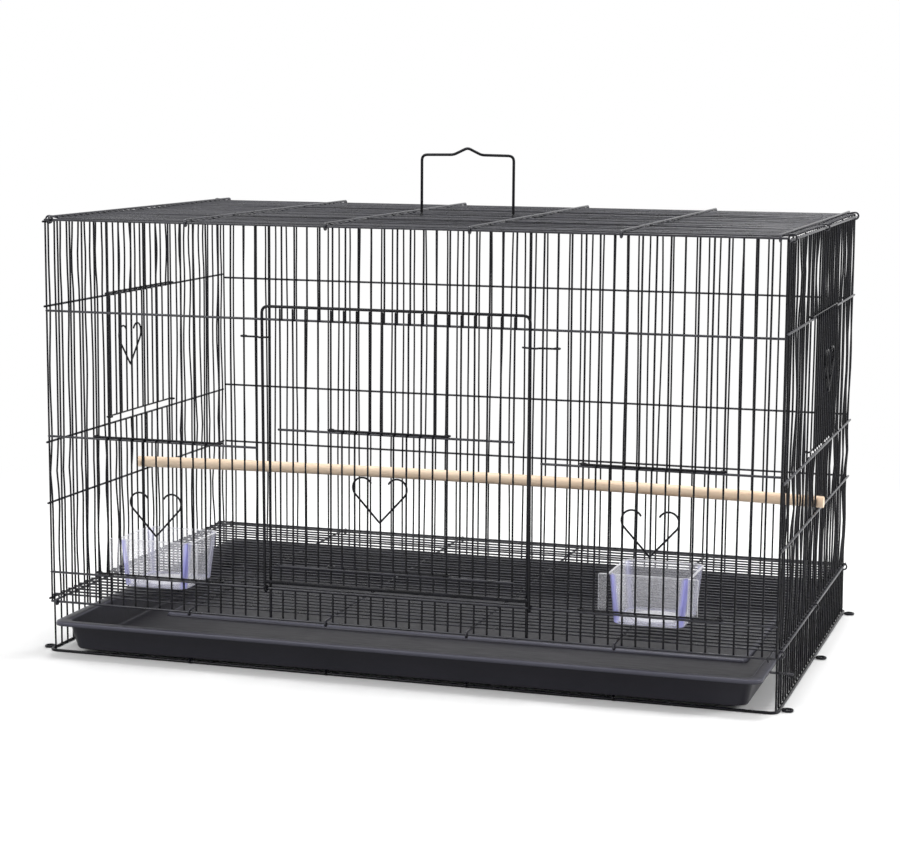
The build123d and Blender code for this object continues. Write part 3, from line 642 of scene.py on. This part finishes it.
def makeHeart(node, pieceName, body, across, normal):
    # Half a heart is a straight line from the tip that meets a lobe's circle at a tangent, then follows
    # the circle over the top to the curled end; the other half is its mirror image.
    low, high = (np.array(c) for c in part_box(node))
    centre = (low + high) / 2
    tip = centre.copy()
    tip[2] = low[2] + heartLook["tipLift"]
    lobe = np.array([heartLook["lobeX"], heartLook["lobeZ"]])
    away = math.hypot(*lobe)
    lean = math.atan2(lobe[1], lobe[0]) - math.asin(heartLook["lobeRadius"] / away)
    angle = np.radians(np.linspace(math.degrees(lean) - 90, heartLook["curlEnd"], 20))
    arc = lobe + heartLook["lobeRadius"] * np.stack([np.cos(angle), np.sin(angle)], axis=1)
    line = np.linspace(0.04, 0.9, 5)[:, None] * arc[0]
    halfHeart = np.vstack([line, arc])
    left = halfHeart[::-1] * (-1, 1)
    outline = np.vstack([left, [[0, 0]], halfHeart])
    path = tip + outline[:, :1] * across + outline[:, 1:] * zAxis
    points, quads, caps = tubeMesh([path], heartLook["wire"], normal, 12)
    addPiece(pieceName, points, quads, coat, body, [node], caps)


slidingDoors = [
    # start of its nodes' names, start of its pieces' names, body, axis, side that its bars run along
    ("inner_door", "smallDoor", "inner_door", 0, -yAxis),
    ("left_feeder", "leftFeeder", "left_feeder", 0, -yAxis),
    ("right_feeder", "rightFeeder", "right_feeder", 0, -yAxis),
    ("left_side", "leftSideDoor", "left_side_door", 1, -xAxis),
    ("right_side", "rightSideDoor", "right_side_door", 1, xAxis),
]
for node, door, body, axis, outward in slidingDoors:
    doorBars(node + "_bars", door + "Bars", body, axis, outward)
for node, door, body, axis, outward in slidingDoors:
    across, normal = (yAxis, xAxis) if axis else (xAxis, yAxis)
    makeHeart(node + "_heart", door + "Heart", body, across, normal)
print("sliding doors done")

doorLook = {
    "corner": 7 * mm, "barHeight": 8.0 * mm, "hingeRadius": 3.1 * mm, "hingeWire": 1.2 * mm, "hingeDrop": 4.9 * mm,
    "lean": -2.0 * mm,
}


def makeDoorFrame():
    # A wire bent round the top of the door, a cross bar at its foot, and a loop under each leg round the rail.
    low, high = (np.array(c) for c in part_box("main_door_frame"))
    r = wireSizes["frame"]
    x = high[0] - r
    top = high[2] - r
    y = low[1] + r
    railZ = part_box("main_door_frame")[0][2] + doorLook["hingeDrop"]
    bend = doorLook["corner"]
    lean = doorLook["lean"]  # the real frame leans a little to the left at its top
    corners = [(-x, y, railZ), (-x + lean, y, top), (x + lean, y, top), (x, y, railZ)]
    sets = [tubeMesh([roundedPath(corners, [bend, bend], 8)], r, yAxis, 12)]
    barZ = railZ + doorLook["barHeight"]
    sets.append(tubeMesh([[(-x, y, barZ), (0, y, barZ), (x, y, barZ)]], r, yAxis, 12))
    railY = y + doorLook["hingeRadius"]
    loops = [
        loopArc(np.array([side * x, railY, railZ]), -yAxis, -zAxis, doorLook["hingeRadius"], -20, 330, 20)
        for side in (-1, 1)
    ]
    sets.append(tubeMesh(loops, doorLook["hingeWire"], xAxis, 12))
    points, quads, caps = joinMeshes(*sets)
    addPiece("mainDoorFrame", points, quads, coat, "main_door", ["main_door_frame"], caps)


latchLook = {
    "kink": 16.5 * mm, "kinkRun": 3.0 * mm, "tip": 0.6 * mm, "bend": 2.0 * mm, "wire": 1.0 * mm, "lift": 0.8 * mm,
    "below": 1.1 * mm, "before": 1.05 * mm,
}


def makeLatch(node, pieceName, body, side):
    # A wire that curls round an upright, runs along the grille, kinks out and lies over the door frame.
    low, high = (np.array(c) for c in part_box(node))
    guideX = low[0] + loopSizes["reach"] if side < 0 else high[0] - loopSizes["reach"]
    tipX = high[0] - latchLook["tip"] if side < 0 else low[0] + latchLook["tip"]
    guideY = high[1] - loopSizes["outer"]
    z = low[2] + latchLook["below"]
    reachY = low[1] + latchLook["before"]
    guide = np.array([guideX, guideY, z])
    loop = loopArc(guide, side * xAxis, yAxis, loopSizes["radius"], 180, -270, 18)
    nearY = guideY - loopSizes["radius"]
    kinkX = guideX - side * latchLook["kink"]
    corners = [
        (guideX, nearY, z), (kinkX, nearY, z), (kinkX - side * latchLook["kinkRun"], reachY, z),
        (tipX, reachY, z + latchLook["lift"]),
    ]
    arm = roundedPath(corners, [latchLook["bend"]] * 2)
    points, quads, caps = tubeMesh([np.vstack([loop[:-1], arm])], latchLook["wire"], zAxis, 12)
    addPiece(pieceName, points, quads, coat, body, [node], caps)


handleLook = {
    "corner": 6 * mm, "shoulderX": 15.5 * mm, "shoulderDrop": 6.3 * mm, "gripDrop": 6.8 * mm, "soft": 3.5 * mm,
    "foot": 4.0 * mm, "eye": 2.8 * mm, "eyeWire": 1.2 * mm,
}


def makeHandle():
    # One wire with quadratic bends, a small peak at the middle of its grip, and a loop under each foot that is
    # most of a circle round a top wire.
    low, high = (np.array(c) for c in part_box("handle"))
    look = handleLook
    r = wireSizes["post"]
    x = high[0] - r
    top = high[2] - r
    footZ = low[2] + look["foot"]
    grip = top - look["gripDrop"]
    shoulder = top - look["shoulderDrop"]
    rightHalf = [(look["shoulderX"], 0, shoulder), (x, 0, grip), (x, 0, footZ + look["eye"])]
    leftHalf = [(-px, py, pz) for px, py, pz in reversed(rightHalf)]
    bends = [look["corner"], look["soft"], look["soft"], look["soft"], look["corner"]]
    path = roundedPath(leftHalf + [(0, 0, top + 0.3 * look["soft"])] + rightHalf, bends, 7)
    loops = [loopArc(np.array([side * x, 0, footZ]), yAxis, zAxis, look["eye"], 70, 335, 20) for side in (-1, 1)]
    handle = joinMeshes(tubeMesh([path], r, yAxis, 14), tubeMesh(loops, look["eyeWire"], xAxis, 12))
    addPiece("carryingHandle", handle[0], handle[1], coat, "handle", ["handle"], handle[2])


makeDoorFrame()
for side, sign in (("left", -1), ("right", 1)):
    makeLatch(side + "_latch", side + "LatchWire", side + "_latch", sign)
makeHandle()
print("frame, latches and handle done")


def roundedRing(halfX, halfY, corner, steps=7):
    # A rounded rectangle as one closed loop of points, with the same count of points at every size.
    turn = np.radians(np.linspace(0, 90, steps))
    quarter = np.stack([np.cos(turn), np.sin(turn)], axis=1)
    signs = np.array([(1, 1), (-1, 1), (-1, -1), (1, -1)], float)
    runs = []
    for k, sign in enumerate(signs):
        arc = quarter if k % 2 == 0 else quarter[::-1]
        runs.append(sign * (np.array([halfX, halfY]) - corner + corner * arc))
    return np.vstack(runs)


def shellMesh(centre, profile):
    # A profile carried round a rounded rectangle: each row of the profile is (half x, half y, corner, height,
    # shift of its centre along y).
    rings = []
    for halfX, halfY, corner, height, shift in profile:
        flat = roundedRing(halfX, halfY, corner)
        x, y = flat[:, 0] + centre[0], flat[:, 1] + centre[1] + shift
        rings.append(np.column_stack([x, y, np.full(len(flat), height)]))
    points = np.vstack(rings)
    around = len(rings[0])
    quads = gridFaces(len(rings), around)
    caps = [np.arange(around)[::-1], (len(rings) - 1) * around + np.arange(around)]
    return points, quads, caps


traySizes = {
    "wall": 1.6 * mm, "flange": 10 * mm, "taper": 6 * mm, "corner": 12 * mm, "lip": 2.5 * mm, "soft": 1.2 * mm,
    "panelSide": 28.5 * mm, "panelFront": 164 * mm, "panelBack": 30 * mm, "panelRise": 3.0 * mm,
    "panelSlope": 3.0 * mm,
    # how much painted highlight each row of the profile and then of the panel gets, from 0 to 1
    "paintedHighlight": [0, 0, 0.1, 0.1, 0, 0, 0, 0, 0.25, 0.55, 0.7, 0.35, 0, 0.5, 0.1, 0, 0.1, 0, 0, 0.2, 1, 0.6, 0],
}


def makeTray():
    # The tray as one profile: from under its floor up the outside, round the lip, over the flange, down the
    # inside and in across the floor. A raised panel with sloping sides stands on the floor.
    s = traySizes
    low, high = (np.array(c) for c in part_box("tray"))
    mid = (low + high) / 2
    hx, hy = (high - low)[:2] / 2
    soft = s["soft"]
    top = high[2]
    bottom = low[2]
    rimX, rimY = hx - s["flange"], hy - s["flange"]
    footX, footY = rimX - s["taper"], rimY - s["taper"]
    wall = s["wall"]
    c = s["corner"]
    profile = [
        (footX - 30 * mm, footY - 30 * mm, c, bottom, 0),
        (footX - 2 * soft, footY - 2 * soft, c, bottom, 0),
        (footX - soft * 0.6, footY - soft * 0.6, c, bottom + soft * 0.5, 0),
        (footX + 0.1 * mm, footY + 0.1 * mm, c, bottom + 2 * soft, 0),
        (rimX - soft * 0.3, rimY - soft * 0.3, c, top - wall - soft, 0),
        (rimX + soft * 0.8, rimY + soft * 0.8, c, top - wall, 0),
        (hx - wall - 0.2 * mm, hy - wall - 0.2 * mm, c - wall, top - wall, 0),
        (hx - wall, hy - wall, c - wall, top - wall - s["lip"], 0),
        (hx, hy, c, top - wall - s["lip"], 0),
        (hx, hy, c, top - soft, 0),
        (hx - soft * 0.3, hy - soft * 0.3, c, top - soft * 0.3, 0),
        (hx - soft, hy - soft, c, top, 0),
        (rimX + soft * 0.4, rimY + soft * 0.4, c, top, 0),
        (rimX - wall * 0.6, rimY - wall * 0.6, c, top - soft * 0.6, 0),
        (rimX - wall - soft * 0.4, rimY - wall - soft * 0.4, c, top - 2 * soft, 0),
        (footX - wall + 0.2 * mm, footY - wall + 0.2 * mm, c, bottom + wall + 2 * soft, 0),
        (footX - wall - soft * 0.6, footY - wall - soft * 0.6, c, bottom + wall + soft * 0.5, 0),
        (footX - wall - 2 * soft, footY - wall - 2 * soft, c, bottom + wall, 0),
    ]
    points, quads, caps = shellMesh(mid, profile)
    sets = [(points, quads, caps)]
    panelX = footX - s["panelSide"]
    panelMid = mid[1] + (s["panelFront"] - s["panelBack"]) / 2
    panelY = footY - (s["panelFront"] + s["panelBack"]) / 2
    base = bottom + wall
    rise = s["panelRise"]
    slope = s["panelSlope"]
    panel = [
        (panelX, panelY, 6 * mm, base - 0.4 * mm, 0),
        (panelX, panelY, 6 * mm, base, 0),
        (panelX - slope * 0.8, panelY - slope * 0.8, 5 * mm, base + rise * 0.9, 0),
        (panelX - slope * 1.2, panelY - slope * 1.2, 5 * mm, base + rise, 0),
        (panelX - slope * 2.4, panelY - slope * 2.4, 5 * mm, base + rise, 0),
    ]
    sets.append(shellMesh(np.array([0, panelMid]), panel))
    # The tint lays the painted highlight chiefly on the outer lip, the flange's inner edge and the raised panel's
    # sloping edge.
    tint = np.repeat(s["paintedHighlight"], len(points) // len(profile))
    points, quads, caps = joinMeshes(*sets)
    addPiece("slideOutTray", points, quads, trayPlastic, "tray", ["tray"], caps, tint)


cupSizes = {
    "halfX": 40 * mm, "depth": 74 * mm, "taper": 5 * mm, "wall": 1.6 * mm, "corner": 8 * mm, "soft": 1.0 * mm,
    "rim": 1 * mm, "rimHeight": 1.6 * mm, "frontGap": 2.0 * mm, "earThick": 2.4 * mm, "earRise": 11.2 * mm,
    "disc": 25 * mm, "discRise": 1.4 * mm,
}


def makeCup(node, pieceName, body):
    # Cup shell with a turned-out rim as one profile, a thin ear at each side of its front, and a round disc on
    # its floor.
    s = cupSizes
    low, high = (np.array(c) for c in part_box(node))
    mid = (low + high) / 2
    frontY = low[1] + s["frontGap"]
    top, bottom = high[2], low[2]
    hx, hy = s["halfX"], s["depth"] / 2
    lowX, lowY = hx - s["taper"], hy - s["taper"] / 2
    shift = lowY - hy
    wall, soft, c = s["wall"], s["soft"], s["corner"]
    rim = s["rim"]
    profile = [
        (lowX - 6 * soft, lowY - 6 * soft, c, bottom + 0.6 * soft, shift),
        (lowX - 4 * soft, lowY - 4 * soft, c, bottom, shift),
        (lowX - 2 * soft, lowY - 2 * soft, c, bottom, shift),
        (lowX - 0.5 * soft, lowY - 0.5 * soft, c, bottom + 0.7 * soft, shift),
        (lowX + 0.2 * mm, lowY + 0.1 * mm, c, bottom + 2.2 * soft, shift * 0.97),
        (hx - 0.2 * mm, hy - 0.1 * mm, c, top - s["rimHeight"], 0),
        (hx + rim - 0.3 * mm, hy + rim / 2 - 0.2 * mm, c + rim, top - s["rimHeight"], rim / 2),
        (hx + rim, hy + rim / 2, c + rim, top - s["rimHeight"] / 2, rim / 2),
        (hx + rim - 0.4 * mm, hy + rim / 2 - 0.3 * mm, c + rim, top, rim / 2),
        (hx - wall + 0.5 * mm, hy - wall + 0.5 * mm, c, top, 0),
        (hx - wall, hy - wall, c, top - soft, 0),
        (lowX - wall + 0.2 * mm, lowY - wall + 0.1 * mm, c, bottom + wall + 2.2 * soft, shift * 0.97),
        (lowX - wall - 0.5 * soft, lowY - wall - 0.5 * soft, c, bottom + wall + 0.7 * soft, shift),
        (lowX - wall - 2 * soft, lowY - wall - 2 * soft, c, bottom + wall, shift),
    ]
    sets = [shellMesh(np.array([mid[0], frontY + hy]), profile)]
    bend = np.sin(np.linspace(0, math.pi, 7)) ** 1.4
    corner = np.concatenate([0.35 * bend, 0.35 * bend, bend, bend])  # the two front corners catch the light
    whole = np.ones(len(corner))
    rows = [-0.3, -0.3, -0.3, 0.5, None, None, -0.5, -0.5, -0.5, -0.5, None, None, 0.3, 0.0]
    tints = [np.vstack([corner if row is None else row * whole + 0.4 * corner for row in rows]).ravel()]
    earX = (high[0] - low[0]) / 2
    earLow = bottom + s["earRise"]
    earHalf = (earX - hx + 1.2 * mm) / 2
    for side in (-1, 1):
        centre = np.array([mid[0] + side * (earX - earHalf), low[1] + s["earThick"] / 2])
        ear = [
            (earHalf - 0.8 * mm, s["earThick"] / 2 - 0.5 * mm, 0.4 * mm, earLow, 0),
            (earHalf, s["earThick"] / 2, 0.8 * mm, earLow + 0.7 * mm, 0),
            (earHalf, s["earThick"] / 2, 0.8 * mm, top - 0.7 * mm, 0),
            (earHalf - 0.8 * mm, s["earThick"] / 2 - 0.5 * mm, 0.4 * mm, top, 0),
        ]
        sets.append(shellMesh(centre, ear))
        tints.append(np.vstack([-whole, -0.9 * corner, -0.9 * corner, -whole]).ravel())
    disc = s["disc"]
    floorZ = bottom + wall
    sets.append(shellMesh(np.array([mid[0], frontY + hy]), [
        (disc, disc, disc, floorZ - 0.2 * mm, shift),
        (disc, disc, disc, floorZ + s["discRise"] * 0.6, shift),
        (disc - soft, disc - soft, disc - soft, floorZ + s["discRise"], shift),
    ]))
    tints.append(np.full(3 * len(whole), -0.9))
    points, quads, caps = joinMeshes(*sets)
    addPiece(pieceName, points, quads, cupPlastic, body, [node], caps, np.concatenate(tints))


makeTray()
for side in ("left", "right"):
    makeCup(side + "_cup", side + "FeedCup", side + "_cup")
print("tray and cups done")

perchLook = {
    "radius": 6.0 * mm, "slotFrom": 378.6 * mm, "slotTo": 381.4 * mm, "web": 5.2 * mm, "edge": 0.8 * mm,
    "slotEase": 0.05 * mm, "plain": 360 * mm, "lift": 1.5 * mm, "warp": 4.5 * mm,
}


def makePerch():
    # Radius as a function of length and angle: a round dowel with eased ends, cut flat at both sides where
    # the side wires sit in its slots. The cut is min(radius, web / |cos angle|). The dowel is warped upwards as
    # warp * (1 - (x / half length) squared).
    s = perchLook
    low, high = (np.array(c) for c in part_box("perch"))
    half = high[0]
    edge = s["edge"]
    stations = np.array([
        half, half - 0.15 * edge, half - 0.5 * edge, half - edge, s["slotTo"] + s["slotEase"], s["slotTo"],
        s["slotFrom"], s["slotFrom"] - s["slotEase"],
    ])
    middle = np.linspace(-s["plain"], s["plain"], 13)
    x = np.concatenate([-stations, middle, stations[::-1]])
    reach = np.clip((half - np.abs(x)) / edge, 0, 1)
    size = s["radius"] - edge * (1 - np.sqrt(1 - (1 - reach) ** 2)) * 0.9
    angle = np.linspace(0, 2 * math.pi, 32, endpoint=False)
    radius = np.repeat(size[:, None], len(angle), axis=1)
    slot = (np.abs(x) <= s["slotTo"]) & (np.abs(x) >= s["slotFrom"])
    limit = s["web"] / np.maximum(np.abs(np.cos(angle)), 1e-6)
    radius[slot] = np.minimum(radius[slot], limit[None, :])
    centre = (low + high) / 2
    y = centre[1] + radius * np.cos(angle)
    z = centre[2] + s["lift"] + s["warp"] * (1 - (x[:, None] / half) ** 2) + radius * np.sin(angle)
    points = np.stack([np.repeat(x[:, None], len(angle), axis=1), y, z], axis=-1).reshape(-1, 3)
    quads = gridFaces(len(x), len(angle))
    caps = [np.arange(len(angle))[::-1], (len(x) - 1) * len(angle) + np.arange(len(angle))]
    addPiece("woodenPerch", points, quads, wood, "cage", ["perch"], caps)


makePerch()
print("perch done")


stageLook = {
    "floor": (0.90, 0.90, 0.90, 1), "rough": 0.9, "gloss": 0.1, "size": 14.0, "near": 0.55, "far": 1.25,
    "world": (1.0, 1.0, 1.0, 1), "worldPower": 0.50,
}


def seenRays(tree):
    # 1 for rays that come straight from the camera, a mirror or clear plastic, and 0 for the rest.
    rays = tree.nodes.new("ShaderNodeLightPath")
    first = addNode(tree, "ShaderNodeMath")
    second = addNode(tree, "ShaderNodeMath")
    first.operation = second.operation = "MAXIMUM"
    tree.links.new(rays.outputs["Is Camera Ray"], first.inputs[0])
    tree.links.new(rays.outputs["Is Glossy Ray"], first.inputs[1])
    tree.links.new(first.outputs["Value"], second.inputs[0])
    tree.links.new(rays.outputs["Is Transmission Ray"], second.inputs[1])
    return second.outputs["Value"]


def makeFloor():
    # A wide pale floor that keeps the shadow near the cage and turns to plain white further out: the share of
    # white grows smoothly with the distance from the middle.
    half = stageLook["size"] / 2
    mesh = bpy.data.meshes.new("floor")
    mesh.from_pydata([(-half, -half, 0), (half, -half, 0), (half, half, 0), (-half, half, 0)], [], [(0, 1, 2, 3)])
    floor = bpy.data.objects.new("floor", mesh)
    bpy.context.collection.objects.link(floor)
    material, tree, shader = newMaterial("paleFloor")
    shader.inputs["Base Color"].default_value = stageLook["floor"]
    shader.inputs["Roughness"].default_value = stageLook["rough"]
    shader.inputs["Specular IOR Level"].default_value = stageLook["gloss"]
    place = tree.nodes.new("ShaderNodeTexCoord")
    away = tree.nodes.new("ShaderNodeVectorMath")
    away.operation = "LENGTH"
    share = addNode(tree, "ShaderNodeMapRange")
    share.interpolation_type = "SMOOTHSTEP"
    share.inputs["From Min"].default_value = stageLook["near"]
    share.inputs["From Max"].default_value = stageLook["far"]
    both = addNode(tree, "ShaderNodeMath")
    both.operation = "MULTIPLY"
    white = addNode(tree, "ShaderNodeEmission", Color=stageLook["world"], Strength=1.0)
    mix = tree.nodes.new("ShaderNodeMixShader")
    tree.links.new(place.outputs["Object"], away.inputs[0])
    tree.links.new(away.outputs["Value"], share.inputs["Value"])
    tree.links.new(share.outputs["Result"], both.inputs[0])
    tree.links.new(seenRays(tree), both.inputs[1])
    tree.links.new(both.outputs["Value"], mix.inputs["Fac"])
    tree.links.new(shader.outputs["BSDF"], mix.inputs[1])
    tree.links.new(white.outputs["Emission"], mix.inputs[2])
    tree.links.new(mix.outputs["Shader"], tree.nodes["Material Output"].inputs["Surface"])
    mesh.materials.append(material)


def makeWorld():
    # Soft white surroundings; the camera and clear plastic see plain white.
    world = bpy.data.worlds.new("studio")
    bpy.context.scene.world = world
    world.use_nodes = True
    tree = world.node_tree
    light = tree.nodes["Background"]
    light.inputs["Color"].default_value = stageLook["world"]
    light.inputs["Strength"].default_value = stageLook["worldPower"]
    plain = addNode(tree, "ShaderNodeBackground", Color=stageLook["world"], Strength=1.0)
    mix = tree.nodes.new("ShaderNodeMixShader")
    tree.links.new(seenRays(tree), mix.inputs["Fac"])
    tree.links.new(light.outputs["Background"], mix.inputs[1])
    tree.links.new(plain.outputs["Background"], mix.inputs[2])
    tree.links.new(mix.outputs["Shader"], tree.nodes["World Output"].inputs["Surface"])


lamps = {
    "keyLight": {"place": (-1.6, -2.4, 2.6), "power": 52, "size": 1.3},
    "sideLight": {"place": (2.9, 0.5, 1.5), "power": 44, "size": 0.9},
    "topLight": {"place": (0.2, 0.6, 3.0), "power": 70, "size": 1.2},
}
lampTarget = (0, 0, 0.22)


def makeLamps():
    # Area lamps that look at the middle of the cage.
    target = Vector(lampTarget)
    for name, look in lamps.items():
        data = bpy.data.lights.new(name, "AREA")
        data.energy = look["power"]
        data.size = look["size"]
        lamp = bpy.data.objects.new(name, data)
        lamp.location = look["place"]
        lamp.rotation_euler = (target - lamp.location).to_track_quat("-Z", "Y").to_euler()
        bpy.context.collection.objects.link(lamp)


# angles in degrees and places in metres, fitted to the photograph's perspective
cameraLook = {
    "azimuth": 17.535, "elevation": 8.432, "roll": 0.396, "distance": 2.2054, "target": (0.0552, -0.2302, 0.2543),
    "lens": 90.48, "sensor": 36, "clip": 50,
}


def makeCamera():
    # The camera stands back from the target along its azimuth and elevation, rolled about its own axis.
    az = math.radians(cameraLook["azimuth"])
    el = math.radians(cameraLook["elevation"])
    roll = math.radians(cameraLook["roll"])
    back = Vector((math.sin(az) * math.cos(el), -math.cos(az) * math.cos(el), math.sin(el)))
    right = Vector((math.cos(az), math.sin(az), 0))
    up = back.cross(right)
    sideways = math.cos(roll) * right + math.sin(roll) * up
    upright = back.cross(sideways)
    data = bpy.data.cameras.new("camera")
    data.lens = cameraLook["lens"]
    data.sensor_width = cameraLook["sensor"]
    data.clip_end = cameraLook["clip"]
    camera = bpy.data.objects.new("camera", data)
    turn = Matrix((sideways, upright, back)).transposed().to_4x4()
    camera.matrix_world = Matrix.Translation(Vector(cameraLook["target"]) + cameraLook["distance"] * back) @ turn
    bpy.context.collection.objects.link(camera)
    bpy.context.scene.camera = camera


makeFloor()
makeWorld()
makeLamps()
makeCamera()
bpy.context.scene.view_settings.view_transform = "Standard"
print("stage done")
